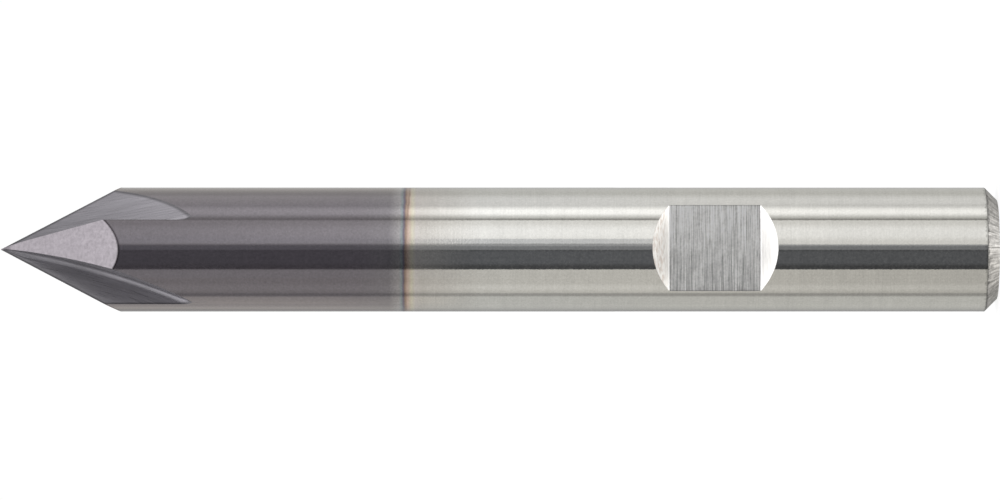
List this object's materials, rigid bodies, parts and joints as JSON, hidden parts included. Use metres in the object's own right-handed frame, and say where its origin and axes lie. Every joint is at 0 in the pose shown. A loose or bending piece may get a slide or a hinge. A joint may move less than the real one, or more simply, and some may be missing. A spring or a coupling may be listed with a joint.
{
  "type": "chamfer mill",
  "caption": "Solid carbide chamfer mill with a pointed cone of straight-fluted teeth, a coated head and a round shank with a flat for side-lock clamping.",
  "frame": {"origin": "centre of the shank's flat end face", "axes": "+Z along the tool's axis from the shank's end to the tip; the clamping flat faces -Y"},
  "size_m": [0.008, 0.008, 0.0642],
  "materials": {
    "carbide": "ground carbide, mirror bright on the shank, with a violet-grey hard coating on the front 26 mm"
  },
  "bodies": {
    "root": {"chamfer_mill": "carbide"}
  },
  "joints": []
}
